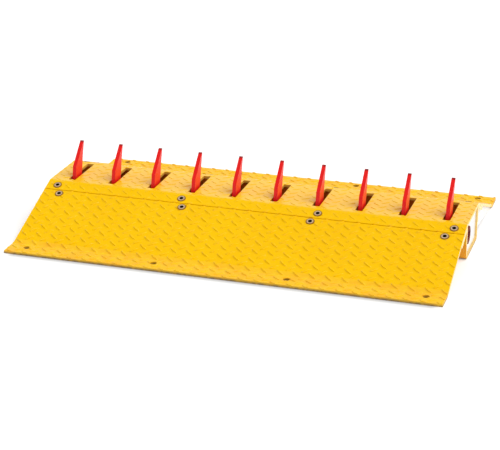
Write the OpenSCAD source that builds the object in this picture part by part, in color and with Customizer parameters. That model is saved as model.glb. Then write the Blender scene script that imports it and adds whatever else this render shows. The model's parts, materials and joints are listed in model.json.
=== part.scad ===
// Surface-mounted tyre spike strip, one module: a bent tread-plate cover over a channel,
// a drive-over ramp on each side, and a row of sprung spikes that fold down one way only.
// Frame: +X along the row of spikes, +Y the way the spikes fold, +Z up, the ground at Z = 0.

/* [Strip] */
// Length of the module, along the row of spikes
module_length = 914; // [880:1:960]
// Depth across the strip, from toe to toe
overall_depth = 610; // [570:1:680]
// Height of the cover's top above the ground
cover_height = 79.5; // [77:0.5:90]
// Thickness of the tread plate of the cover and the ramps
plate_t = 6; // [5:0.5:8]
// Inside radius of the plate's bends
bend_r = 6; // [3:0.5:10]

/* [Cover] */
// Depth of the flat top, between its two bends
cover_depth = 130; // [124:1:160]
// Level run of the sloped flange, from the bend to the seam
flange_run = 28; // [26:1:32]
// Open seam between the flange and the ramp
seam_gap = 2; // [0.5:0.5:3]
// Width of a spike's slot
slot_width = 16; // [12:0.5:24]
// Length of a spike's slot, across the strip
slot_length = 108; // [104:1:114]

/* [Ramps] */
// Depth of the flat toe that lies on the ground
toe_length = 45; // [30:1:60]
// Diameter of the anchor holes in the toes
anchor_hole_d = 14; // [10:0.5:18]
// Outermost anchor holes and ramp bolts, from the end of the module
anchor_end_gap = 38; // [28:1:60]
// Anchor holes of the front toe, from its edge
front_anchor_inset = 28; // [14:1:34]
// Anchor holes of the rear toe, from its edge
rear_anchor_inset = 16; // [14:1:34]
// Thickness of the ribs under the ramps
ramp_rib_t = 8; // [5:0.5:12]
// Thickness of the webs that close the rear ramp's ends
ramp_web_t = 5; // [3:0.5:8]
// Height of a web's lower edge above the ground, at the channel
web_lift = 20; // [12:1:28]

/* [Bolts] */
// Diameter of a bolt's shank
bolt_d = 12; // [8:0.5:14]
// Diameter of a bolt's flat head
bolt_head_d = 18.5; // [16:0.5:22]
// Height of a bolt's head above the tread plate
bolt_head_h = 1.2; // [0.6:0.1:2.5]
// Width across flats of a bolt's hexagon socket
bolt_socket_w = 7; // [5:0.5:8]
// Depth of a bolt's hexagon socket
bolt_socket_depth = 4.5; // [3:0.1:5.5]
// Radial room of a bolt in the tread plate
bolt_hole_gap = 0.5; // [0.2:0.1:1]
// Outermost cover bolts, from the end of the module
cover_bolt_end_gap = 24; // [18:1:50]
// Distance between the two inner cover bolts
cover_bolt_inner_span = 298; // [240:1:330]
// Cover bolts, level distance from the bend
cover_bolt_run = 15; // [13:0.5:16]
// Ramp bolts, level distance from the bend
ramp_bolt_run = 40; // [39:0.5:43]

/* [Channel] */
// Sheet thickness of the channel
channel_t = 5; // [3:0.5:6]
// Inside radius of the channel's two bends
channel_bend_r = 5; // [2:0.5:10]
// Channel walls, inside the bends of the cover
channel_inset = 2; // [1.5:0.5:3]
// Thickness of the joint angle that backs a seam
angle_t = 8; // [5:0.5:10]
// Length of the joint angle's sloped leg
angle_leg = 60; // [54:1:80]
// Height of the joint angle's upright leg
angle_height = 34; // [20:1:45]
// Thickness of the joint angle's upright leg
angle_wall_t = 4; // [3:0.5:5]

/* [End plates and ribs] */
// Thickness of an end plate
end_plate_t = 5; // [3:0.5:8]
// End plates, inside the ends of the channel
end_plate_recess = 4; // [0.5:0.5:6]
// Thickness of the ribs inside the channel
channel_rib_t = 6; // [4:0.5:10]

/* [Shaft] */
// Diameter of the pivot shaft
shaft_d = 20; // [16:0.5:21]
// Height of the shaft above the ground
pivot_height = 46.5; // [45:0.5:49.5]
// Shaft behind the front bend of the cover
pivot_setback = 27; // [26:0.5:30]
// Outside diameter of a shaft bush
bush_d = 30; // [26:0.5:32]
// Outside diameter of the sleeves between the spikes
sleeve_d = 22.5; // [22:0.1:23]
// Outside diameter of a shaft collar
collar_d = 30; // [26:0.5:30.5]
// Length of a shaft collar
collar_length = 9; // [6:0.5:10]
// Shaft ends, inside the outer faces of the end plates
shaft_end_gap = 1.5; // [0.5:0.5:3]

/* [Spikes] */
// Thickness of a spike
spike_t = 8; // [6:0.5:11]
// Height of a spike's tip above the shaft
spike_rise = 102; // [90:1:108]
// Distance of a spike's tip behind the shaft
spike_reach = 50; // [44:0.5:50]
// Diameter of a spike's hub
hub_d = 30; // [28:0.5:31]
// Length of a spike's hub
hub_length = 20; // [16:0.5:22]
// Width of the tail that meets the stop bar
tail_w = 8; // [6:0.5:9]
// Length of the tail below the shaft
tail_length = 23; // [21:0.5:24]

/* [Springs] */
// Diameter of the spring wire
wire_d = 3.5; // [2.5:0.1:3.6]
// Turns of a spring, a whole number and a half
spring_turns = 3.5; // [2.5, 3.5]
// Open gap between two turns
turn_gap = 0.7; // [0.5:0.1:0.9]
// Length of the leg that lies on the stop bar
fixed_leg = 22; // [16:1:26]
// Length of the leg that holds the spike up
spike_leg = 20; // [18:0.5:21]

/* [Stop bar] */
// Width of the stop bar
stop_bar_w = 12; // [8:0.5:16]

/* [Hidden] */
$fn = 64;

// Clearances: running fits, pieces that seat on each other, and pieces that pass each other
run_gap = 0.05;
seat_gap = 0.2;
pass_gap = 0.3;
// How far a cut runs past the face that it opens
overrun = 2;

// Colours
yellow = [1, 0.76, 0.02];
red = [0.85, 0.1, 0.08];
zinc = [0.82, 0.82, 0.8];
steel = [0.6, 0.6, 0.6];
bronze = [0.36, 0.2, 0.12];

// The slope from the toe to the cover's bend
slope_run = overall_depth / 2 - toe_length - cover_depth / 2;
slope_rise = cover_height - plate_t;
slope_a = atan2(slope_rise, slope_run);
slope_length = norm([slope_run, slope_rise]);
bend_outer_r = bend_r + plate_t;
bend_steps = 8;
bend_start_u = bend_outer_r * tan(slope_a / 2);
flange_length = flange_run / cos(slope_a);
apex_y = -cover_depth / 2;
toe_bend_y = toe_length - overall_depth / 2;
plate_under_z = cover_height - plate_t;

// Rows of bolts and anchor holes
row_count = 4;
ramp_row_span = module_length - 2 * anchor_end_gap;
ramp_bolt_row = [for (i = [0:row_count - 1]) ramp_row_span * (i / (row_count - 1) - 1 / 2)];
cover_bolt_outer_x = module_length / 2 - cover_bolt_end_gap;
cover_bolt_inner_x = cover_bolt_inner_span / 2;
cover_bolt_row = [-cover_bolt_outer_x, -cover_bolt_inner_x, cover_bolt_inner_x, cover_bolt_outer_x];
cover_bolt_u = cover_bolt_run / cos(slope_a);
ramp_bolt_u = ramp_bolt_run / cos(slope_a);
// Ramp ribs stand midway between the bolts
ramp_rib_row = [for (i = [0:row_count - 2]) (ramp_bolt_row[i] + ramp_bolt_row[i + 1]) / 2];
// Depth of a bolt head's cone, as a share of the tread plate's thickness
head_cone_share = 0.55;
head_cone_h = head_cone_share * plate_t;

// The channel
channel_w = cover_depth - 2 * channel_inset;
channel_inner_w = channel_w - 2 * channel_t;
channel_face_y = -channel_w / 2;

// The spikes along the row
spike_count = 10;
spike_pitch = module_length / spike_count;
pivot_y = apex_y + pivot_setback;
function spike_x(i) = (i - (spike_count + 1) / 2) * spike_pitch;

// Blade outline from the shaft, as shares of the spike's reach and rise: front foot, front
// knee, tip, back shoulder, back foot and root
spike_outline_shares = [
  [-0.16, 0], [0.056, 0.558], [0.93, 0.985], [1, 1], [0.81, 0.7], [0.64, 0.31], [0.45, 0]
];
// Channel ribs, as shares of the module's length from its middle, each midway between two spikes
rib_place_shares = [-0.3, 0, 0.3];
rib_row = [for (share = rib_place_shares) share * module_length];

// The springs, wound round the sleeves beside each hub, on the side towards the strip's middle
spring_pitch = wire_d + turn_gap;
spring_near_x = hub_length / 2 + pass_gap + wire_d / 2;
spring_far_x = spring_near_x + spring_turns * spring_pitch;
rings_per_turn = 8;
wire_sides = 6;
// The wire runs straight between its rings, so the middle of each stretch lies nearest the sleeve
spring_mean_r = (sleeve_d / 2 + pass_gap + wire_d / 2) / cos(180 / rings_per_turn);

// The stop bar stands behind the tails, just under the springs
stop_bar_y = pivot_y + tail_w / 2 + pass_gap;
stop_bar_top = pivot_height - spring_mean_r - wire_d / 2 - pass_gap;

// The inside ends of the strip, and the pieces along the shaft
end_face_x = module_length / 2 - end_plate_recess;
inside_x = end_face_x - end_plate_t;
collar_face_x = inside_x - pass_gap - collar_length;
hub_face_x = hub_length / 2 + pass_gap;
// The rear ramp's webs are flush with the end plates
ramp_web_x = end_face_x - ramp_web_t / 2;

// Place on the front slope: u down the slope from the cover's bend, v below its top face
function slope_point(u, v) = [
  apex_y - u * cos(slope_a) + v * sin(slope_a),
  cover_height - u * sin(slope_a) - v * cos(slope_a)
];

// Runs a profile drawn in Y and Z along X
module along_x(length, at = 0) {
  translate([at, 0, 0]) rotate([90, 0, 90]) linear_extrude(length, center = true) children();
}

module rear() {
  mirror([0, 1, 0]) children();
}

// Stands its children on the front slope, with +Z out of the plate
module on_slope(x, u) {
  place = slope_point(u, 0);
  translate([x, place[0], place[1]]) rotate([slope_a, 0, 0]) children();
}

function arc(centre, r, from, to) = [
  for (k = [0:bend_steps]) let (a = from + (to - from) * k / bend_steps) centre + r * [cos(a), sin(a)]
];
function reversed(points) = [for (k = [len(points) - 1:-1:0]) points[k]];
function mirrored(points) = [for (p = points) [-p[0], p[1]]];

// The cover's profile: the flat top, and a bend and a sloped flange on each side
module cover_profile() {
  bend = [apex_y + bend_start_u, cover_height - bend_outer_r];
  top = [slope_point(flange_length, 0), each arc(bend, bend_outer_r, 90 + slope_a, 90)];
  under = [slope_point(flange_length, plate_t), each arc(bend, bend_r, 90 + slope_a, 90)];
  polygon([each top, each reversed(mirrored(top)), each mirrored(under), each reversed(under)]);
}

// The ramp's profile: the flat toe, a bend and the slope up to the seam
module ramp_profile() {
  bend = [toe_bend_y - bend_r * tan(slope_a / 2), bend_outer_r];
  seam = flange_length + seam_gap;
  edge_y = -overall_depth / 2;
  top = [[edge_y, plate_t], each arc(bend, bend_r, -90, slope_a - 90), slope_point(seam, 0)];
  under = [[edge_y, 0], each arc(bend, bend_outer_r, -90, slope_a - 90), slope_point(seam, plate_t)];
  polygon([each top, each reversed(under)]);
}

// The cone under a bolt's head, with room round it
module head_cone(room) {
  translate([0, 0, -head_cone_h])
    cylinder(d1 = bolt_d + 2 * room, d2 = bolt_head_d + 2 * room, h = head_cone_h);
}

module bolt_holes(row, u, d) {
  depth = plate_t + angle_t + overrun;
  for (x = row) on_slope(x, u) translate([0, 0, -depth]) cylinder(d = d, h = depth + overrun);
}

// Holes through the tread plate, with a countersink for the head
module sunk_holes(row, u) {
  bolt_holes(row, u, bolt_d + 2 * bolt_hole_gap);
  for (x = row) on_slope(x, u) {
    head_cone(seat_gap);
    cylinder(d = bolt_head_d + 2 * seat_gap, h = overrun);
  }
}

module anchor_holes(inset) {
  depth = plate_t + 2 * overrun;
  for (x = ramp_bolt_row)
    translate([x, inset - overall_depth / 2, -overrun]) cylinder(d = anchor_hole_d, h = depth);
}

module top_cover() {
  slot = [slot_width, slot_length, 2 * (plate_t + overrun)];
  color(yellow) difference() {
    along_x(module_length) cover_profile();
    for (i = [1:spike_count]) translate([spike_x(i), 0, cover_height]) cube(slot, center = true);
    sunk_holes(cover_bolt_row, cover_bolt_u);
    rear() sunk_holes(cover_bolt_row, cover_bolt_u);
  }
}

module ramp(anchor_inset) {
  color(yellow) difference() {
    along_x(module_length) ramp_profile();
    sunk_holes(ramp_bolt_row, ramp_bolt_u);
    anchor_holes(anchor_inset);
  }
}

module front_ramp() {
  ramp(front_anchor_inset);
}

module rear_ramp() {
  rear() ramp(rear_anchor_inset);
}

// The angle that backs a seam: a sloped leg with tapped holes, up to the cover's bend, and an
// upright leg on the channel
module angle_profile() {
  leg_start = slope_point(angle_leg, plate_t + angle_t);
  elbow = slope_point(0, plate_t + angle_t);
  intersection() {
    translate(leg_start) rotate(slope_a) square([angle_leg - bend_start_u, angle_t]);
    translate([-overall_depth, 0]) square([overall_depth + channel_face_y, cover_height]);
  }
  translate([channel_face_y - angle_wall_t, elbow[1] + angle_t / 2 - angle_height])
    square([angle_wall_t, angle_height]);
}

module joint_angle() {
  hole_d = bolt_d + 2 * run_gap;
  color(yellow) difference() {
    along_x(module_length) angle_profile();
    bolt_holes(cover_bolt_row, cover_bolt_u, hole_d);
    bolt_holes(ramp_bolt_row, ramp_bolt_u, hole_d);
  }
}

module front_joint_angle() {
  joint_angle();
}

module rear_joint_angle() {
  rear() joint_angle();
}

// Ribs that stand on the ground under a ramp, from the joint angle to the toe's bend
module ramp_ribs(row) {
  top = slope_point(angle_leg, plate_t);
  foot = slope_point(slope_length - bend_outer_r, plate_t);
  for (x = row) along_x(ramp_rib_t, x) polygon([[top[0], 0], top, foot, [foot[0], 0]]);
}

module front_ramp_ribs() {
  color(yellow) ramp_ribs(ramp_rib_row);
}

module rear_ramp_ribs() {
  color(yellow) rear() ramp_ribs(ramp_rib_row);
}

// A web under the ramp and the joint angle, from the toe's bend to the angle's upright leg
module web_profile() {
  angle_under = plate_t + angle_t;
  back_y = channel_face_y - angle_wall_t;
  back_u = (apex_y - back_y) / cos(slope_a) + angle_under * tan(slope_a);
  foot = slope_point(slope_length - bend_outer_r, plate_t);
  polygon([
    [foot[0], 0], foot, slope_point(angle_leg, plate_t), slope_point(angle_leg, angle_under),
    slope_point(back_u, angle_under), [back_y, web_lift]
  ]);
}

module rear_ramp_webs() {
  color(zinc) rear() for (side = [-1, 1]) along_x(ramp_web_t, side * ramp_web_x) web_profile();
}

// A profile with two round bottom corners, standing on bottom
module trough_profile(width, corner_r, bottom, top) {
  translate([-width / 2, bottom + corner_r]) square([width, top - bottom - corner_r]);
  translate([corner_r - width / 2, bottom]) square([width - 2 * corner_r, corner_r]);
  for (side = [-1, 1]) translate([side * (width / 2 - corner_r), bottom + corner_r]) circle(corner_r);
}

module base_channel() {
  color(yellow) along_x(module_length) difference() {
    trough_profile(channel_w, channel_bend_r + channel_t, 0, plate_under_z);
    trough_profile(channel_inner_w, channel_bend_r, channel_t, plate_under_z + overrun);
  }
}

// The outline of a plate that stands across the inside of the channel
module bulkhead_profile() {
  trough_profile(
    channel_inner_w - 2 * seat_gap, channel_bend_r - seat_gap, channel_t + seat_gap, plate_under_z - seat_gap
  );
}

module end_plate(side) {
  color(zinc) along_x(end_plate_t, side * (end_face_x - end_plate_t / 2)) difference() {
    bulkhead_profile();
    translate([pivot_y, pivot_height]) circle(d = bush_d + 2 * run_gap);
  }
}

module left_end_plate() {
  end_plate(-1);
}

module right_end_plate() {
  end_plate(1);
}

module shaft_bush(side) {
  color(bronze) along_x(end_plate_t, side * (end_face_x - end_plate_t / 2)) translate([pivot_y, pivot_height])
    difference() {
      circle(d = bush_d);
      circle(d = shaft_d + 2 * run_gap);
    }
}

module left_shaft_bush() {
  shaft_bush(-1);
}

module right_shaft_bush() {
  shaft_bush(1);
}

// A rib that carries the cover and the shaft between two spikes, notched over the stop bar
module channel_rib(x) {
  color(zinc) along_x(channel_rib_t, x) difference() {
    bulkhead_profile();
    translate([pivot_y, pivot_height]) circle(d = shaft_d + 2 * run_gap);
    translate([stop_bar_y - seat_gap, 0]) square([stop_bar_w + 2 * seat_gap, stop_bar_top + seat_gap]);
  }
}

module left_rib() {
  channel_rib(rib_row[0]);
}

module centre_rib() {
  channel_rib(rib_row[1]);
}

module right_rib() {
  channel_rib(rib_row[2]);
}

module pivot_shaft() {
  color(red) along_x(2 * (end_face_x - shaft_end_gap)) translate([pivot_y, pivot_height]) circle(d = shaft_d);
}

// A ring on the shaft, from one X to another
module shaft_ring(from, to, d) {
  along_x(to - from, (from + to) / 2) translate([pivot_y, pivot_height]) difference() {
    circle(d = d);
    circle(d = shaft_d + 2 * run_gap);
  }
}

module shaft_collars() {
  color(steel) for (side = [-1, 1]) {
    middle = side * (collar_face_x + collar_length / 2);
    shaft_ring(middle - collar_length / 2, middle + collar_length / 2, collar_d);
  }
}

// Sleeves keep the hubs apart: one in each gap, or two where a rib stands in the gap
module spacer_sleeves() {
  color(steel) {
    shaft_ring(-collar_face_x + seat_gap, spike_x(1) - hub_face_x, sleeve_d);
    shaft_ring(spike_x(spike_count) + hub_face_x, collar_face_x - seat_gap, sleeve_d);
    for (i = [1:spike_count - 1]) {
      start = spike_x(i) + hub_face_x;
      end = spike_x(i + 1) - hub_face_x;
      middle = (start + end) / 2;
      rib_face = channel_rib_t / 2 + seat_gap;
      ribs_here = [for (x = rib_row) if (x > start && x < end) x];
      if (len(ribs_here) == 0) {
        shaft_ring(start, end, sleeve_d);
      } else {
        shaft_ring(start, middle - rib_face, sleeve_d);
        shaft_ring(middle + rib_face, end, sleeve_d);
      }
    }
  }
}

module stop_bar() {
  color(steel) along_x(2 * (inside_x - seat_gap)) translate([stop_bar_y, channel_t])
    square([stop_bar_w, stop_bar_top - channel_t]);
}

// A flat-head bolt with a hexagon socket: its cone sunk in the plate, its rim just proud of it
module bolt() {
  difference() {
    union() {
      cylinder(d1 = bolt_head_d, d2 = bolt_head_d - bolt_head_h, h = bolt_head_h);
      head_cone(0);
      translate([0, 0, -plate_t - angle_t]) cylinder(d = bolt_d, h = plate_t + angle_t);
    }
    translate([0, 0, bolt_head_h - bolt_socket_depth])
      cylinder(d = bolt_socket_w / cos(30), h = bolt_socket_depth + overrun, $fn = 6);
  }
}

module bolts(row, u) {
  color(zinc) for (x = row) on_slope(x, u) bolt();
}

module front_cover_bolts() {
  bolts(cover_bolt_row, cover_bolt_u);
}

module front_ramp_bolts() {
  bolts(ramp_bolt_row, ramp_bolt_u);
}

module rear_cover_bolts() {
  rear() bolts(cover_bolt_row, cover_bolt_u);
}

module rear_ramp_bolts() {
  rear() bolts(ramp_bolt_row, ramp_bolt_u);
}

// A spike: a blade on a bored hub, a tail for the stop bar and a hole for the spring's leg
module spike(i) {
  color(red) translate([spike_x(i), pivot_y, pivot_height]) difference() {
    union() {
      along_x(spike_t) {
        polygon([for (share = spike_outline_shares) [share[0] * spike_reach, share[1] * spike_rise]]);
        translate([-tail_w / 2, -tail_length]) square([tail_w, tail_length]);
      }
      along_x(hub_length) circle(d = hub_d);
    }
    along_x(hub_length + overrun) circle(d = shaft_d + 2 * run_gap);
    along_x(spike_t + overrun) translate([spike_leg, spring_mean_r]) circle(d = wire_d + 2 * pass_gap);
  }
}

// The middle line of a spring's wire, from the leg on the stop bar, round the coil, along the
// leg over the shaft and into the spike
coil_steps = spring_turns * rings_per_turn;
function coil_angle(k) = -90 - 360 * k / rings_per_turn;
function coil_x(k) = spring_far_x - spring_pitch * k / rings_per_turn;
spring_line = [
  [spring_far_x, fixed_leg, -spring_mean_r],
  for (k = [0:coil_steps])
    [coil_x(k), spring_mean_r * cos(coil_angle(k)), spring_mean_r * sin(coil_angle(k))],
  [spring_near_x, spike_leg, spring_mean_r],
  [0, spike_leg, spring_mean_r]
];
// The way out from the shaft at each of those points
spring_out = [
  [0, 0, -1],
  for (k = [0:coil_steps]) [0, cos(coil_angle(k)), sin(coil_angle(k))],
  [0, 0, 1],
  [0, 0, 1]
];
function unit(v) = v / norm(v);
function wire_step(k) = unit(spring_line[k + 1] - spring_line[k]);
last_point = len(spring_line) - 1;
function wire_ring(k) =
  let (
    before = wire_step(max(k - 1, 0)),
    after = wire_step(min(k, last_point - 1)),
    ahead = unit(before + after),
    out = unit(spring_out[k] - (spring_out[k] * ahead) * ahead),
    side = cross(ahead, out) / (k == last_point - 1 ? ahead * after : 1)
  )
  [for (j = [0:wire_sides - 1])
    let (turn = 360 * j / wire_sides) spring_line[k] + wire_d / 2 * (cos(turn) * side + sin(turn) * out)];
function ring_faces(k) = [
  for (j = [0:wire_sides - 1])
    let (a = k * wire_sides + j, b = k * wire_sides + (j + 1) % wire_sides)
      each [[a, a + wire_sides, b], [b, a + wire_sides, b + wire_sides]]
];
// Least gap of the wire to itself, between points at least half a turn apart along it
spring_gap = min([
  for (a = [0:last_point], b = [0:last_point])
    if (b - a >= rings_per_turn / 2) norm(spring_line[a] - spring_line[b]) - wire_d
]);
echo(str("Least gap of a spring's wire to itself: ", spring_gap, " mm"));

module spring(i) {
  end_ring = last_point * wire_sides;
  turned = i > spike_count / 2 ? 1 : 0;
  color(steel) translate([spike_x(i), pivot_y, pivot_height]) mirror([turned, 0, 0]) polyhedron(
    points = [for (k = [0:last_point]) each wire_ring(k)],
    faces = [
      for (j = [1:wire_sides - 2]) [0, j, j + 1],
      for (k = [0:last_point - 1]) each ring_faces(k),
      for (j = [1:wire_sides - 2]) [end_ring, end_ring + j + 1, end_ring + j]
    ]
  );
}

base_channel();
top_cover();
front_ramp();
rear_ramp();
front_joint_angle();
rear_joint_angle();
front_ramp_ribs();
rear_ramp_ribs();
rear_ramp_webs();
left_end_plate();
right_end_plate();
left_shaft_bush();
right_shaft_bush();
left_rib();
centre_rib();
right_rib();
pivot_shaft();
shaft_collars();
spacer_sleeves();
stop_bar();
front_cover_bolts();
front_ramp_bolts();
rear_cover_bolts();
rear_ramp_bolts();
for (i = [1:spike_count]) spike(i);
for (i = [1:spike_count]) spring(i);
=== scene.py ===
import json
import math
import bpy
from mathutils import Matrix, Vector


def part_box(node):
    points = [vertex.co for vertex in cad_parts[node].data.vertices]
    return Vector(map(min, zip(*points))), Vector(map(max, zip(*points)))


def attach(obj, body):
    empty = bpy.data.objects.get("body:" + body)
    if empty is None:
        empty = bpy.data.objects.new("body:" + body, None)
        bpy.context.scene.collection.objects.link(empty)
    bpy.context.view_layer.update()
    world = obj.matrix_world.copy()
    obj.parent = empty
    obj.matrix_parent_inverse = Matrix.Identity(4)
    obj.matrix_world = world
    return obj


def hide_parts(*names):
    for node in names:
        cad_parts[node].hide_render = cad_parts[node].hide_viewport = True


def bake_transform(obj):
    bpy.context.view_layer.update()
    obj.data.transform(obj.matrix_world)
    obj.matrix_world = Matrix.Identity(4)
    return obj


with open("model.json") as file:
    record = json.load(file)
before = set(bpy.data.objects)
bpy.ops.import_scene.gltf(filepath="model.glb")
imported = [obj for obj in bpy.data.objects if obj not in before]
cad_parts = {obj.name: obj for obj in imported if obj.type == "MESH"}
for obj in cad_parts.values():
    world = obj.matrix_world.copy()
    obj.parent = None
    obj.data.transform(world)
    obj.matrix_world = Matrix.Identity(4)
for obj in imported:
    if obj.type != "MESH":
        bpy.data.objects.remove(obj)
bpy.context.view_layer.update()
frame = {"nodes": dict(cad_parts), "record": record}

bpy.context.scene.view_settings.view_transform = "Standard"


# Camera

cameraView = {
    "azimuth": 17.53,  # degrees round from the front, to the right
    "elevation": 21.31,
    "roll": -0.09,
    "place": (0.9470, -3.0696, 1.2544),
    "lens": 115.70,
    "sensor": 36.0,
}


def addCamera():
    azimuth = math.radians(cameraView["azimuth"])
    elevation = math.radians(cameraView["elevation"])
    roll = math.radians(cameraView["roll"])
    level = math.cos(elevation)
    ahead = Vector((-math.sin(azimuth) * level, math.cos(azimuth) * level, -math.sin(elevation)))
    right = Vector((math.cos(azimuth), math.sin(azimuth), 0))
    up = right.cross(ahead)
    turned = Matrix((right, up, -ahead)).transposed() @ Matrix.Rotation(roll, 3, "Z")
    bpy.ops.object.camera_add()
    camera = bpy.context.object
    camera.data.lens = cameraView["lens"]
    camera.data.sensor_width = cameraView["sensor"]
    camera.matrix_world = Matrix.Translation(cameraView["place"]) @ turned.to_4x4()
    bpy.context.scene.camera = camera
    print("camera set")


addCamera()


# Node graphs: maths on a Wire adds Math nodes, and Graph.node adds any other node

shadeSamples = 12  # rays that feel for hollows


class Wire:
    def __init__(self, graph, socket):
        self.graph = graph
        self.socket = socket

    def maths(self, operation, first, second):
        return self.graph.node("ShaderNodeMath", {"operation": operation}, {0: first, 1: second})

    def __add__(self, other):
        return self.maths("ADD", self, other)

    def __radd__(self, other):
        return self.maths("ADD", other, self)

    def __sub__(self, other):
        return self.maths("SUBTRACT", self, other)

    def __rsub__(self, other):
        return self.maths("SUBTRACT", other, self)

    def __mul__(self, other):
        return self.maths("MULTIPLY", self, other)

    def __rmul__(self, other):
        return self.maths("MULTIPLY", other, self)

    def __abs__(self):
        return self.maths("ABSOLUTE", self, 0.0)


class Graph:
    def __init__(self, tree):
        self.tree = tree

    def node(self, kind, settings=None, inputs=None, output=0):
        made = self.tree.nodes.new(kind)
        for key, value in (settings or {}).items():
            if key == "stops":
                self.setStops(made.color_ramp, value)
            else:
                setattr(made, key, value)
        for key, value in (inputs or {}).items():
            self.join(value, made.inputs[key])
        return Wire(self, made.outputs[output])

    def setStops(self, ramp, stops):  # each is a place and a grey level
        while len(ramp.elements) < len(stops):
            ramp.elements.new(1.0)
        for element, (place, level) in zip(ramp.elements, stops):
            element.position = place
            element.color = (level, level, level, 1.0)

    def join(self, value, socket):
        if isinstance(value, Wire):
            self.tree.links.new(value.socket, socket)
        elif socket.type == "RGBA":
            socket.default_value = (*value, 1.0)
        else:
            socket.default_value = value

    def objectPlace(self):
        return self.node("ShaderNodeTexCoord", output="Object")

    def ray(self, kind):  # 1 for one kind of ray
        return self.node("ShaderNodeLightPath", output=f"Is {kind} Ray")

    def ramp(self, value, stops):
        return self.node("ShaderNodeValToRGB", {"stops": stops}, {0: value})

    def pattern(self, place, look):  # noise, and its stops where it has them
        values = {"Vector": place, "Scale": look["scale"], "Detail": look["detail"]}
        cloud = self.node("ShaderNodeTexNoise", None, values)
        return self.ramp(cloud, look["stops"]) if "stops" in look else cloud

    def blend(self, factor, first, second):  # colours, which a Mix node has at sockets 6, 7 and 2
        return self.node("ShaderNodeMix", {"data_type": "RGBA"}, {0: factor, 6: first, 7: second}, 2)

    def hollows(self, reach, stops):  # by how far a piece shades itself
        settings = {"only_local": True, "samples": shadeSamples}
        exposed = self.node("ShaderNodeAmbientOcclusion", settings, {"Distance": reach}, "AO")
        return self.ramp(exposed, stops)

    def within(self, value, limit):  # 1 where the value is nearer to zero than the limit
        return value.maths("LESS_THAN", abs(value), limit)

    def axes(self, place):  # its three lengths
        return [self.node("ShaderNodeSeparateXYZ", None, {0: place}, axis) for axis in "XYZ"]

    def step(self, value, low, high):  # rises smoothly from 0 to 1
        limits = {"Value": value, "From Min": low, "From Max": high}
        return self.node("ShaderNodeMapRange", {"interpolation_type": "SMOOTHSTEP"}, limits)


def newFinish(name, look):
    material = bpy.data.materials.new(name)
    material.use_nodes = True
    shader = material.node_tree.nodes["Principled BSDF"]
    shader.inputs["Metallic"].default_value = look["metallic"]
    shader.inputs["Specular IOR Level"].default_value = look["specular"]
    return material, Graph(material.node_tree), shader


def setColour(graph, shader, mask, first, second):
    graph.join(graph.blend(mask, first, second), shader.inputs["Base Color"])


def setRoughness(graph, shader, mask, limits):
    graph.join(mask * (limits[1] - limits[0]) + limits[0], shader.inputs["Roughness"])


def setBump(graph, shader, height, depth):
    values = {"Height": height, "Strength": 1.0, "Distance": depth}
    graph.join(graph.node("ShaderNodeBump", None, values), shader.inputs["Normal"])


# Sizes of the plates and their openings

plate = {
    "thickness": 0.006,
    "bendRadius": 0.006,  # inside the bend
    "toeLength": 0.045,
    "coverDepth": 0.130,
    "flangeRun": 0.028,
    "seamGap": 0.002,
}
openings = {
    "slotWidth": 0.016,
    "slotLength": 0.108,
    "slotCount": 10,
    "headRadius": 0.00925,
    "spotFace": 0.0015,  # bare ring round a bolt's head
    "coverBoltRun": 0.015,  # both runs are measured level, from the cover's bend
    "rampBoltRun": 0.040,
    "anchorRadius": 0.007,
    "frontAnchorInset": 0.028,
    "rearAnchorInset": 0.016,
}

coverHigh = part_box("top_cover")[1]
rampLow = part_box("front_ramp")[0]
halfLength = coverHigh.x
topHeight = coverHigh.z
toeEdge = -rampLow.y
slopeRun = toeEdge - plate["toeLength"] - plate["coverDepth"] / 2
slope = math.atan2(topHeight - plate["thickness"], slopeRun)
slopeLength = math.hypot(slopeRun, topHeight - plate["thickness"])
flangeLength = plate["flangeRun"] / math.cos(slope)
coverBendRadius = plate["bendRadius"] + plate["thickness"]
coverFlat = plate["coverDepth"] / 2 - coverBendRadius * math.tan(slope / 2)
coverArc = coverBendRadius * slope
coverReach = coverFlat + coverArc + flangeLength - coverBendRadius * math.tan(slope / 2)
rampFlat = plate["toeLength"] - plate["bendRadius"] * math.tan(slope / 2)
rampArc = plate["bendRadius"] * slope
rampSlope = slopeLength - plate["bendRadius"] * math.tan(slope / 2) - flangeLength - plate["seamGap"]
rampReach = rampFlat + rampArc + rampSlope


def rowOf(node):  # middles of a row of bolts, from left to right
    heads = openings["headRadius"]
    xs = sorted(vertex.co.x for vertex in frame["nodes"][node].data.vertices)
    starts = [xs[0]] + [right for left, right in zip(xs, xs[1:]) if right - left > heads]
    return [start + heads for start in starts]


# Yellow paint: on the cover, the ramps, the channel, the joint angles and the ramps' ribs

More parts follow.
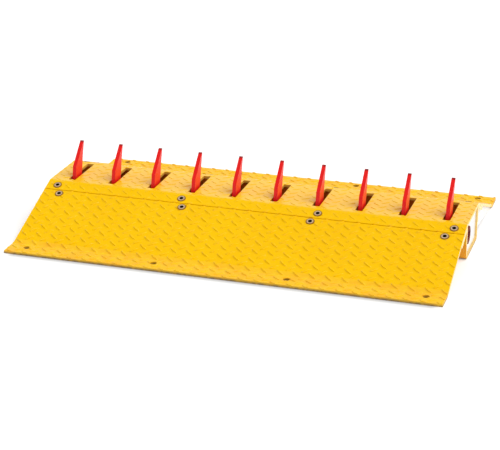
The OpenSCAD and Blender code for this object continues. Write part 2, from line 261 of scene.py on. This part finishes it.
yellowPaint = {
    "metallic": 0.0,
    "specular": 0.45,
    "colour": (0.95, 0.555, 0.001),
    "deep": (0.91, 0.49, 0.001),  # where the coat is thicker
    "patches": {"scale": 7.0, "detail": 4.0, "stops": [(0.42, 0.0), (0.72, 1.0)]},
    "patchShare": 0.45,
    "specks": {"scale": 280.0, "detail": 2.0, "stops": [(0.62, 0.0), (0.80, 1.0)]},
    "speckShare": 0.35,
    "scuffHeights": (0.0078, 0.012),  # below these, the toes are scuffed dull by tyres
    "smudge": (0.93, 0.40, 0.003),  # rubbed into the toes
    "smudges": {"scale": 45.0, "detail": 3.0, "stops": [(0.45, 0.0), (0.66, 0.45)]},
    "grime": (0.10, 0.026, 0.002),  # painted shade, in the holes and the corners
    "grimeReach": 0.03,
    "grimeStops": [(0.25, 0.95), (0.75, 0.0)],
    "toeShadeCut": 0.75,  # share of the painted shade taken off on the toes, so that the anchor holes are less dark
    "outsideShade": (1.0, 0.43, 0.003),  # painted shade: the channel's outside, orange as it looks in the ramp's shadow, lit by light bounced off the yellow paint
    "outsideSize": (0.4568, 0.0645),  # half length and half depth
    "litLip": (0.90, 0.62, 0.20),  # painted light: pale, as the faces round the end plates look in strong light
    "lipSize": (0.4569, 0.0585),
    # painted shade: the slots' walls, tan as they look in the slots' shade
    "slotWallShade": (0.78, 0.39, 0.055),
    "insideShade": (0.90, 0.20, 0.005),  # painted shade: inside the channel, dark orange from light bounced between its yellow faces
    "insideSize": (0.4475, 0.0585),
    "skin": 0.0002,  # of plain paint on the cover's face, which the painted shade and light below it leave alone
    "skinFade": 0.0008,
    "groundShade": (0.24, 0.15, 0.06),  # painted shade, along the ground
    "groundShadeHeight": 0.0060,
    "groundShadeFade": [(0.25, 1.0), (1.0, 0.0)],  # over that height
    "groundShadeBlotches": {"scale": 130.0, "detail": 3.0, "stops": [(0.30, 0.55), (0.60, 1.0)]},
    "gloss": {"scale": 21.0, "detail": 3.0},
    "roughness": (0.14, 0.22),
    "scuffRoughness": 0.30,  # added on the toes
    "rubbedRoughness": 0.12,  # added on the flat top
    "rubbedDepths": (0.0012, 0.0004),  # below the top, where that begins and is full
    "peel": {"scale": 900.0, "detail": 2.0},  # orange peel, about a millimetre
    "peelDepth": 0.00006,
}


def makeYellowPaint():
    look = yellowPaint
    material, graph, shader = newFinish("yellow_paint", look)
    place = graph.objectPlace()
    across, depth, height = graph.axes(place)
    patches = graph.pattern(place, look["patches"]) * look["patchShare"]
    specks = graph.pattern(place, look["specks"]) * look["speckShare"]
    coat = graph.blend(patches + specks, look["colour"], look["deep"])
    toe = 1 - graph.step(height, *look["scuffHeights"])
    coat = graph.blend(toe * graph.pattern(place, look["smudges"]), coat, look["smudge"])
    # Painted shade: darker where the piece hides itself from the light, in holes and corners
    grime = graph.hollows(look["grimeReach"], look["grimeStops"])
    coat = graph.blend(grime * (1 - toe * look["toeShadeCut"]), coat, look["grime"])
    plateTop = topHeight - look["skin"]
    plateBottom = topHeight - plate["thickness"]
    # Painted shade and light, box by box: the channel's outside, the lips round the end plates, the
    # slots' walls, the channel's inside
    boxes = (
        (look["outsideSize"], plateTop, look["outsideShade"]),
        (look["lipSize"], plateTop, look["litLip"]),
        (look["insideSize"], plateTop, look["slotWallShade"]),
        (look["insideSize"], plateBottom, look["insideShade"]),
    )
    for size, top, colour in boxes:
        box = graph.within(across, size[0]) * graph.within(depth, size[1])
        coat = graph.blend(box * (1 - graph.step(height, top - look["skinFade"], top)), coat, colour)
    # Painted shade: darker towards the ground, in blotches
    low = graph.ramp(height * (1 / look["groundShadeHeight"]), look["groundShadeFade"])
    setColour(graph, shader, low * graph.pattern(place, look["groundShadeBlotches"]), coat, look["groundShade"])
    least, most = look["roughness"]
    gloss = graph.pattern(place, look["gloss"]) * (most - least) + least
    begins, full = look["rubbedDepths"]
    rubbed = graph.step(height, topHeight - begins, topHeight - full)
    dull = toe * look["scuffRoughness"] + rubbed * look["rubbedRoughness"]
    graph.join(gloss + dull, shader.inputs["Roughness"])
    setBump(graph, shader, graph.pattern(place, look["peel"]), look["peelDepth"])
    return material


# Red paint: on the spikes and the shaft

redPaint = {
    "metallic": 0.0,
    "specular": 0.3,
    "colour": (0.86, 0.012, 0.010),
    "deep": (0.76, 0.009, 0.008),
    "patches": {"scale": 30.0, "detail": 3.0},
    "worn": (0.07, 0.014, 0.014),  # rubbed tip
    "wornHeights": (0.1445, 0.1480),  # above the ground, where that begins and is full
    "scuffs": {"scale": 220.0, "detail": 3.0, "stops": [(0.35, 0.4), (0.65, 1.0)]},
    "gloss": {"scale": 25.0, "detail": 3.0},
    "roughness": (0.24, 0.36),
    "peel": {"scale": 1100.0, "detail": 2.0},
    "peelDepth": 0.00005,
}


def makeRedPaint():
    look = redPaint
    material, graph, shader = newFinish("red_paint", look)
    place = graph.objectPlace()
    height = graph.axes(place)[2]
    coat = graph.blend(graph.pattern(place, look["patches"]), look["colour"], look["deep"])
    worn = graph.step(height, *look["wornHeights"]) * graph.pattern(place, look["scuffs"])
    setColour(graph, shader, worn, coat, look["worn"])
    setRoughness(graph, shader, graph.pattern(place, look["gloss"]), look["roughness"])
    setBump(graph, shader, graph.pattern(place, look["peel"]), look["peelDepth"])
    return material


# Zinc plate: on the end plates and the rear ramp's webs

zincPlate = {
    "metallic": 0.1,
    "specular": 0.5,
    "pale": (0.84, 0.83, 0.81),
    "grey": (0.74, 0.74, 0.73),
    "spangleScale": 140.0,
    "spangleShare": 0.6,
    "clouds": {"scale": 60.0, "detail": 3.0},
    "cloudShare": 0.4,
    "roughness": (0.30, 0.46),
    "grain": {"scale": 500.0, "detail": 3.0},
    "grainDepth": 0.00004,
}


def makeZincPlate():
    look = zincPlate
    material, graph, shader = newFinish("zinc_plate", look)
    place = graph.objectPlace()
    values = {"Vector": place, "Scale": look["spangleScale"]}
    cells = graph.node("ShaderNodeTexVoronoi", None, values, "Color")
    spangle = graph.node("ShaderNodeSeparateColor", None, {0: cells}, 0)
    clouds = graph.pattern(place, look["clouds"])
    mottle = spangle * look["spangleShare"] + clouds * look["cloudShare"]
    setColour(graph, shader, mottle, look["pale"], look["grey"])
    setRoughness(graph, shader, spangle, look["roughness"])
    setBump(graph, shader, graph.pattern(place, look["grain"]), look["grainDepth"])
    return material


# Zinc bolts: stained, and warmed by a painted reflection of the yellow paint round them, with painted
# shade in the sockets and round the rims

zincBolts = {
    "metallic": 0.1,
    "specular": 0.25,
    # tan: the zinc's stains, with a painted reflection of the yellow paint round the bolts
    "pale": (0.70, 0.52, 0.34),
    "dull": (0.54, 0.38, 0.24),
    "stains": {"scale": 160.0, "detail": 4.0, "stops": [(0.40, 0.0), (0.68, 1.0)]},
    "rim": (0.30, 0.13, 0.014),  # painted shade round the head's edge
    "rimEdge": (0.0060, 0.0080),  # distances from the head's middle, where the painted shade begins
    "grime": (0.020, 0.014, 0.010),  # painted shade in the socket
    "socketEdge": (0.0038, 0.0052),  # where the painted shade ends
    "grimeReach": 0.005,
    "grimeStops": [(0.55, 1.0), (0.90, 0.0)],
    "roughness": (0.42, 0.58),
    "grain": {"scale": 1400.0, "detail": 2.0},
    "grainDepth": 0.00004,
}


def boltDistance(graph, place):  # from the middle of the nearest bolt's head
    across, depth, height = graph.axes(place)
    rows = (
        ("front_cover_bolts", openings["coverBoltRun"]),
        ("front_ramp_bolts", openings["rampBoltRun"]),
    )
    nearest = None
    for node, run in rows:
        aside = abs(depth) - (plate["coverDepth"] / 2 + run)
        rise = height - (topHeight - run * math.tan(slope))
        for x in rowOf(node):
            along = across - x
            squared = along * along + aside * aside + rise * rise
            nearest = squared if nearest is None else squared.maths("MINIMUM", nearest, squared)
    return nearest.maths("SQRT", nearest, 0.0)


def makeZincBolts():
    look = zincBolts
    material, graph, shader = newFinish("zinc_bolts", look)
    place = graph.objectPlace()
    stains = graph.pattern(place, look["stains"])
    plated = graph.blend(stains, look["pale"], look["dull"])
    distance = boltDistance(graph, place)
    # Painted shade round each head's rim
    plated = graph.blend(graph.step(distance, *look["rimEdge"]), plated, look["rim"])
    # Painted shade in each socket, and where the bolt hides itself from the light
    socket = 1 - graph.step(distance, *look["socketEdge"])
    grime = graph.hollows(look["grimeReach"], look["grimeStops"])
    setColour(graph, shader, grime.maths("MAXIMUM", grime, socket), plated, look["grime"])
    setRoughness(graph, shader, stains, look["roughness"])
    setBump(graph, shader, graph.pattern(place, look["grain"]), look["grainDepth"])
    return material


# Bare steel: on the channel's ribs, the sleeves, the collars and the stop bar

bareSteel = {
    "metallic": 0.9,
    "specular": 0.5,
    "pale": (0.50, 0.49, 0.48),
    "dull": (0.36, 0.34, 0.32),
    "film": {"scale": 50.0, "detail": 4.0, "stops": [(0.40, 0.0), (0.70, 1.0)]},
    "filmShare": 0.7,
    "turning": {"scale": 1800.0, "detail": 2.0},  # fine rings round the shaft's line
    "turningStretch": (1.0, 0.05, 0.05),
    "turningShare": 0.3,
    "turningDepth": 0.00005,
    "roughness": (0.30, 0.44),
}


def makeBareSteel():
    look = bareSteel
    material, graph, shader = newFinish("bare_steel", look)
    place = graph.objectPlace()
    values = {"Vector": place, "Scale": look["turningStretch"]}
    turning = graph.pattern(graph.node("ShaderNodeMapping", None, values), look["turning"])
    film = graph.pattern(place, look["film"])
    dulled = film * look["filmShare"] + turning * look["turningShare"]
    setColour(graph, shader, dulled, look["pale"], look["dull"])
    setRoughness(graph, shader, film, look["roughness"])
    setBump(graph, shader, turning, look["turningDepth"])
    return material


# Spring steel and bronze: each has patches of a second colour, and a fine grain

springSteel = {
    "metallic": 0.9,
    "specular": 0.5,
    "colour": (0.34, 0.34, 0.36),
    "patch": (0.20, 0.19, 0.19),
    "patches": {"scale": 700.0, "detail": 3.0},
    "roughness": (0.30, 0.45),
    "grain": {"scale": 700.0, "detail": 3.0},
    "grainDepth": 0.00005,
}
bronzeBush = {
    "metallic": 0.15,
    "specular": 0.05,
    "colour": (0.15, 0.030, 0.016),  # bronze's brown, darkened with the painted shade of the hole round the shaft
    "patch": (0.26, 0.065, 0.034),  # rubbed
    "patches": {"scale": 120.0, "detail": 3.0, "stops": [(0.45, 0.0), (0.70, 1.0)]},
    "roughness": (0.55, 0.75),
    "grain": {"scale": 1500.0, "detail": 2.0},
    "grainDepth": 0.00005,
}


def makePatchy(name, look):
    material, graph, shader = newFinish(name, look)
    place = graph.objectPlace()
    grain = graph.pattern(place, look["grain"])
    setColour(graph, shader, graph.pattern(place, look["patches"]), look["colour"], look["patch"])
    setRoughness(graph, shader, grain, look["roughness"])
    setBump(graph, shader, grain, look["grainDepth"])
    return material


finishes = {
    "yellow_paint": makeYellowPaint(),
    "red_paint": makeRedPaint(),
    "zinc_plate": makeZincPlate(),
    "zinc_bolts": makeZincBolts(),
    "bare_steel": makeBareSteel(),
    "spring_steel": makePatchy("spring_steel", springSteel),
    "bronze_bush": makePatchy("bronze_bush", bronzeBush),
}
print("finishes made:", len(finishes))


def paintNodes():
    for part in frame["record"]["subparts"]:
        node = frame["nodes"][part["node"]]
        node.data.materials.clear()
        node.data.materials.append(finishes[part["material_slot"]])


paintNodes()


# Small tools for modelling

cutterSize = {
    "height": 0.05,
    "sides": 32,
}


def deselectAll():
    for item in bpy.context.selected_objects:
        item.select_set(False)


def activate(item):
    deselectAll()
    item.select_set(True)
    bpy.context.view_layer.objects.active = item


def addObject(name, mesh):
    item = bpy.data.objects.new(name, mesh)
    bpy.context.scene.collection.objects.link(item)
    return item


def joinAll(items, name):
    deselectAll()
    for item in items:
        item.select_set(True)
    bpy.context.view_layer.objects.active = items[0]
    bpy.ops.object.join()
    joined = bpy.context.object
    joined.name = name
    return joined


def addRoundCutter(x, y, radius):
    deselectAll()
    bpy.ops.mesh.primitive_cylinder_add(
        vertices=cutterSize["sides"], radius=radius, depth=cutterSize["height"], location=(x, y, 0))
    bpy.ops.object.transform_apply(location=True, rotation=True, scale=True)
    return bpy.context.object


def cutWith(item, cutters):
    cutter = joinAll(cutters, "cutter")
    activate(item)
    modifier = item.modifiers.new("cut", "BOOLEAN")
    modifier.operation = "DIFFERENCE"
    modifier.solver = "EXACT"
    modifier.object = cutter
    bpy.ops.object.modifier_apply(modifier=modifier.name)
    bpy.data.objects.remove(cutter)


# Tread plate: raised lugs on the cover and both ramps, laid out flat and then bent with the plate

lug = {
    "length": 0.023,
    "width": 0.0055,
    "sunk": 0.0004,  # below the plate's face
    "sides": 12,
    "shoulder": 0.85,  # share of the height where the crown begins
    "shoulderShrink": 0.72,
    "crownShrink": 0.7,
    "slant": 38.0,  # degrees from the strip's length
    "pitchX": 0.0332,  # between lugs that slant the same way
    "pitchAcross": 0.0254,
    "edgeGap": 0.0004,  # to the plate's cut edges
    "smoothAngle": 50.0,
}
treads = {  # the start is a lug of the first slant on the flat layout
    "cover_tread": {"start": (-0.0105, -0.0045), "height": 0.0009},  # worn lower
    "front_ramp_tread": {"start": (-0.0133, 0.0016), "height": 0.0016},
    "rear_ramp_tread": {"start": (0.0080, 0.0016), "height": 0.0016},
}


def bendCover(point):  # flat layout, measured from the strip's middle, to the bent cover
    side = math.copysign(1, point.y)
    along = abs(point.y)
    angle = min(max((along - coverFlat) / coverBendRadius, 0.0), slope)
    flat = min(along, coverFlat)
    down = max(along - coverFlat - coverArc, 0.0)
    radius = coverBendRadius + point.z
    y = flat + radius * math.sin(angle) + down * math.cos(angle)
    z = topHeight - coverBendRadius + radius * math.cos(angle) - down * math.sin(angle)
    return Vector((point.x, side * y, z))


def bendFrontRamp(point):  # flat layout, measured from the toe's edge
    angle = min(max((point.y - rampFlat) / plate["bendRadius"], 0.0), slope)
    flat = min(point.y, rampFlat)
    up = max(point.y - rampFlat - rampArc, 0.0)
    radius = plate["bendRadius"] - point.z
    y = rampLow.y + flat + radius * math.sin(angle) + up * math.cos(angle)
    z = plate["thickness"] + plate["bendRadius"] - radius * math.cos(angle) + up * math.sin(angle)
    return Vector((point.x, y, z))


def bendRearRamp(point):  # the same ramp, turned half way round
    bent = bendFrontRamp(point)
    return Vector((-bent.x, -bent.y, bent.z))


def modelLug(height):
    shoulder = height * lug["shoulder"]
    lifts = (  # rise, shrink
        (lug["sunk"], 1.0),
        (shoulder, lug["shoulderShrink"]),
        (height - shoulder, lug["crownShrink"]),
    )
    deselectAll()
    bpy.ops.mesh.primitive_circle_add(vertices=lug["sides"], radius=0.5, fill_type="NGON")  # 1 m across
    item = bpy.context.object
    bpy.ops.object.mode_set(mode="EDIT")
    bpy.ops.mesh.select_all(action="SELECT")
    bpy.ops.transform.resize(value=(lug["length"], lug["width"], 1))
    bpy.ops.transform.translate(value=(0, 0, -lug["sunk"]))
    for rise, shrink in lifts:
        bpy.ops.mesh.extrude_region_move(TRANSFORM_OT_translate={"value": (0, 0, rise)})
        bpy.ops.transform.resize(value=(shrink, shrink, 1))
    bpy.ops.mesh.select_all(action="SELECT")
    bpy.ops.mesh.normals_make_consistent(inside=False)
    bpy.ops.object.mode_set(mode="OBJECT")
    return item


def stepsBetween(low, high, start, pitch):  # whole pitches from the start that fall in a range
    return range(math.ceil((low - start) / pitch), math.floor((high - start) / pitch) + 1)


def layLugs(model, start, low, high):  # both slants over a flat field
    reach = lug["length"] / 2
    field = []
    for half, slant in ((0.0, -lug["slant"]), (0.5, lug["slant"])):  # one slant lies between the other
        startX = start[0] + half * lug["pitchX"]
        startY = start[1] + half * lug["pitchAcross"]
        columns = stepsBetween(low[0] - reach, high[0] + reach, startX, lug["pitchX"])
        rows = stepsBetween(low[1] - reach, high[1] + reach, startY, lug["pitchAcross"])
        turn = Matrix.Rotation(math.radians(slant), 4, "Z")
        for column in columns:
            for row in rows:
                place = (startX + column * lug["pitchX"], startY + row * lug["pitchAcross"], 0)
                mesh = model.data.copy()
                mesh.transform(Matrix.Translation(place) @ turn)
                field.append(addObject("lug", mesh))
    return field


def trimField(item, low, high):  # the plate's cut edges
    activate(item)
    bpy.ops.object.mode_set(mode="EDIT")
    for corner, sign in ((low, -1), (high, 1)):
        for axis in (0, 1):
            normal = [0, 0, 0]
            normal[axis] = sign
            bpy.ops.mesh.select_all(action="SELECT")
            bpy.ops.mesh.bisect(
                plane_co=(*corner, 0), plane_no=normal, use_fill=True, clear_outer=True)
    bpy.ops.object.mode_set(mode="OBJECT")


def addSlotCutter(x):
    deselectAll()
    bpy.ops.mesh.primitive_cube_add(size=1, location=(x, 0, 0))
    item = bpy.context.object
    gap = lug["edgeGap"] * 2
    item.scale = (openings["slotWidth"] + gap, openings["slotLength"] + gap, cutterSize["height"])
    bpy.ops.object.transform_apply(location=True, rotation=True, scale=True)
    return item


def makeTread(name, low, high, cutters, bend):
    gap = lug["edgeGap"]
    low = (low[0] + gap, low[1] + gap)
    high = (high[0] - gap, high[1] - gap)
    model = modelLug(treads[name]["height"])
    tread = joinAll(layLugs(model, treads[name]["start"], low, high), name)
    bpy.data.objects.remove(model)
    trimField(tread, low, high)
    cutWith(tread, cutters)
    for vertex in tread.data.vertices:
        vertex.co = bend(vertex.co)
    activate(tread)
    bpy.ops.object.shade_smooth_by_angle(angle=math.radians(lug["smoothAngle"]))
    tread.data.materials.clear()
    tread.data.materials.append(finishes["yellow_paint"])
    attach(tread, "strip")
    print(name, "faces:", len(tread.data.polygons))


def addTreads():
    headCut = openings["headRadius"] + openings["spotFace"]
    holeCut = openings["anchorRadius"] + lug["edgeGap"]
    coverBoltReach = coverReach - flangeLength + openings["coverBoltRun"] / math.cos(slope)
    rampEnd = rampReach + flangeLength + plate["seamGap"]
    rampBoltReach = rampEnd - openings["rampBoltRun"] / math.cos(slope)
    slotPitch = 2 * halfLength / openings["slotCount"]
    cutters = []
    for number in range(openings["slotCount"]):
        cutters.append(addSlotCutter((number + 0.5) * slotPitch - halfLength))
    for x in rowOf("front_cover_bolts"):
        cutters += [addRoundCutter(x, side * coverBoltReach, headCut) for side in (-1, 1)]
    makeTread("cover_tread", (-halfLength, -coverReach), (halfLength, coverReach), cutters, bendCover)
    ramps = (
        ("front_ramp_tread", openings["frontAnchorInset"], bendFrontRamp),
        ("rear_ramp_tread", openings["rearAnchorInset"], bendRearRamp),
    )
    rampBolts = rowOf("front_ramp_bolts")
    for name, inset, bend in ramps:
        cutters = [addRoundCutter(x, inset, holeCut) for x in rampBolts]
        cutters += [addRoundCutter(x, rampBoltReach, headCut) for x in rampBolts]
        makeTread(name, (-halfLength, 0), (halfLength, rampReach), cutters, bend)


addTreads()


# Bush flanges: a ring on the face of each end plate, round the shaft

bushFlange = {
    "radius": 0.019,
    "boreRadius": 0.0103,
    "thickness": 0.0035,
    "sides": 64,
    "edge": 0.0005,
    "edgeSegments": 2,
    "smoothAngle": 40.0,
}


def addBushFlanges():
    deselectAll()
    bpy.ops.mesh.primitive_cylinder_add(
        vertices=bushFlange["sides"], radius=bushFlange["radius"], depth=bushFlange["thickness"])
    ring = bpy.context.object
    cutWith(ring, [addRoundCutter(0, 0, bushFlange["boreRadius"])])
    modifier = ring.modifiers.new("edge", "BEVEL")
    modifier.width = bushFlange["edge"]
    modifier.segments = bushFlange["edgeSegments"]
    bpy.ops.object.modifier_apply(modifier=modifier.name)
    bpy.ops.object.shade_smooth_by_angle(angle=math.radians(bushFlange["smoothAngle"]))
    ring.data.materials.append(finishes["bronze_bush"])
    shaftLow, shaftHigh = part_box("pivot_shaft")
    middle = (shaftLow + shaftHigh) / 2
    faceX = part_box("right_end_plate")[1].x + bushFlange["thickness"] / 2
    for name, side in (("left_bush_flange", -1), ("right_bush_flange", 1)):
        mesh = ring.data.copy()
        place = Matrix.Translation((side * faceX, middle.y, middle.z))
        mesh.transform(place @ Matrix.Rotation(math.radians(90), 4, "Y"))
        flange = addObject(name, mesh)
        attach(flange, "strip")
    bpy.data.objects.remove(ring)
    print("bush flanges added")


addBushFlanges()


# Springs: each is copied in place of its part, welded and smoothed. On the real strip each winds up as
# its spike folds, with one leg held by the strip and the other by the spike

spring = {
    "wire": 0.0035,
    "turns": 3.5,
    "pitch": 0.0042,
    "weld": 0.00001,  # points nearer than this are joined
    "smoothAngle": 75.0,
}


def addSprings():
    for number in range(1, openings["slotCount"] + 1):
        node = f"spring_{number}"
        solid = frame["nodes"][node]
        coil = addObject(f"coil_{number}", solid.data.copy())
        coil.matrix_world = solid.matrix_world
        activate(coil)
        bpy.ops.object.mode_set(mode="EDIT")
        bpy.ops.mesh.select_all(action="SELECT")
        bpy.ops.mesh.remove_doubles(threshold=spring["weld"])
        bpy.ops.object.mode_set(mode="OBJECT")
        bpy.ops.object.shade_smooth_by_angle(angle=math.radians(spring["smoothAngle"]))
        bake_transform(coil)
        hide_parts(node)
    print("springs wound:", openings["slotCount"])


addSprings()


# Studio: a white sweep, with soft light from the right

studio = {
    "floorSize": 40.0,
    "floorColour": (0.86, 0.86, 0.86),
    "floorGlow": 0.24,  # for the camera and reflections, lights nothing
    "contactShade": 0.45,  # darkest, beside the toes
    "contactReach": 0.024,
    "contactStart": (-0.004, -0.002),  # from the toe's edge, just under it
    "skyLight": 0.68,
    "reflectedRise": (0.50, 0.65),  # upward part of a reflected ray: the sky fades out between these
    "reflectedDepth": (-0.1, 0.25),  # its part towards the back: the sky fades in between these
    "sunStrength": 2.1,
    "sunFrom": (0.69, 0.05, 0.71),
    "sunAngle": 75.0,
}
holeShade = {  # painted shade: dark patches under the toes, seen through the anchor holes, which they darken
    "size": (0.90, 0.040),
    "lift": 0.0002,  # above the floor
    "metallic": 0.0,
    "specular": 0.5,
    "roughness": 0.9,
    "colour": (0.30, 0.165, 0.040),
    "paler": 2,  # times that colour, on the blotches
    "holeBlotches": {"scale": 220.0, "detail": 4.0},
    "holeBlotchDepth": 0.0004,
}


def addFloor():
    deselectAll()
    bpy.ops.mesh.primitive_plane_add(size=studio["floorSize"])
    floor = bpy.context.object
    floor.name = "floor"
    material = bpy.data.materials.new("white_sweep")
    material.use_nodes = True
    tree = material.node_tree
    tree.nodes.clear()
    graph = Graph(tree)
    across, depth = graph.axes(graph.objectPlace())[:2]
    outside = abs(depth) - toeEdge
    shade = graph.step(outside, *studio["contactStart"])
    shade = shade * (1 - graph.step(outside, 0.0, studio["contactReach"]))
    shade = shade * (1 - graph.step(abs(across), halfLength - studio["contactReach"], halfLength))
    unshaded = 1 - shade * studio["contactShade"]
    colour = graph.blend(unshaded, (0, 0, 0), studio["floorColour"])
    base = graph.node("ShaderNodeBsdfDiffuse", None, {"Color": colour})
    seen = graph.ray("Camera") + graph.ray("Glossy") + graph.ray("Transmission")
    strength = seen * unshaded * studio["floorGlow"]
    glow = graph.node("ShaderNodeEmission", None, {"Strength": strength})
    both = graph.node("ShaderNodeAddShader", None, {0: base, 1: glow})
    output = tree.nodes.new("ShaderNodeOutputMaterial")
    graph.join(both, output.inputs["Surface"])
    floor.data.materials.append(material)


def addHoleShade():
    material, graph, shader = newFinish("holeShade", holeShade)
    holeBlotches = graph.pattern(graph.objectPlace(), holeShade["holeBlotches"])
    setColour(graph, shader, holeBlotches, holeShade["colour"], [value * holeShade["paler"] for value in holeShade["colour"]])
    setBump(graph, shader, holeBlotches, holeShade["holeBlotchDepth"])
    shader.inputs["Roughness"].default_value = holeShade["roughness"]
    # Painted shade: a dark patch under each toe
    for side in (-1, 1):
        deselectAll()
        middle = side * (toeEdge - plate["toeLength"] / 2)
        bpy.ops.mesh.primitive_plane_add(size=1, location=(0, middle, holeShade["lift"]))
        patch = bpy.context.object
        patch.name = "holeShade"
        patch.scale = (*holeShade["size"], 1)
        bpy.ops.object.transform_apply(location=True, rotation=True, scale=True)
        patch.data.materials.append(material)


def addWorld():
    world = bpy.data.worlds.new("studio")
    bpy.context.scene.world = world
    world.use_nodes = True
    world.cycles.sampling_method = "NONE"  # so that each kind of ray meets its own sky
    graph = Graph(world.node_tree)
    direction = graph.node("ShaderNodeTexCoord", output="Generated")
    depth, height = graph.axes(direction)[1:]
    wall = 1 - graph.step(height, *studio["reflectedRise"])
    behind = graph.step(depth, *studio["reflectedDepth"])
    direct = graph.ray("Camera") + graph.ray("Transmission")
    glossy = graph.ray("Glossy")
    diffuse = 1 - (direct + glossy)
    strength = direct + glossy * wall * behind + diffuse * studio["skyLight"]
    background = world.node_tree.nodes["Background"]
    graph.join((1, 1, 1), background.inputs["Color"])
    graph.join(strength, background.inputs["Strength"])


def addSun():
    bpy.ops.object.light_add(type="SUN")
    sun = bpy.context.object
    sun.data.energy = studio["sunStrength"]
    sun.data.angle = math.radians(studio["sunAngle"])
    sun.visible_glossy = False  # the reflections are the sky's
    sun.rotation_euler = Vector(studio["sunFrom"]).to_track_quat("Z", "Y").to_euler()


addFloor()
addHoleShade()
addWorld()
addSun()
print("studio lit")
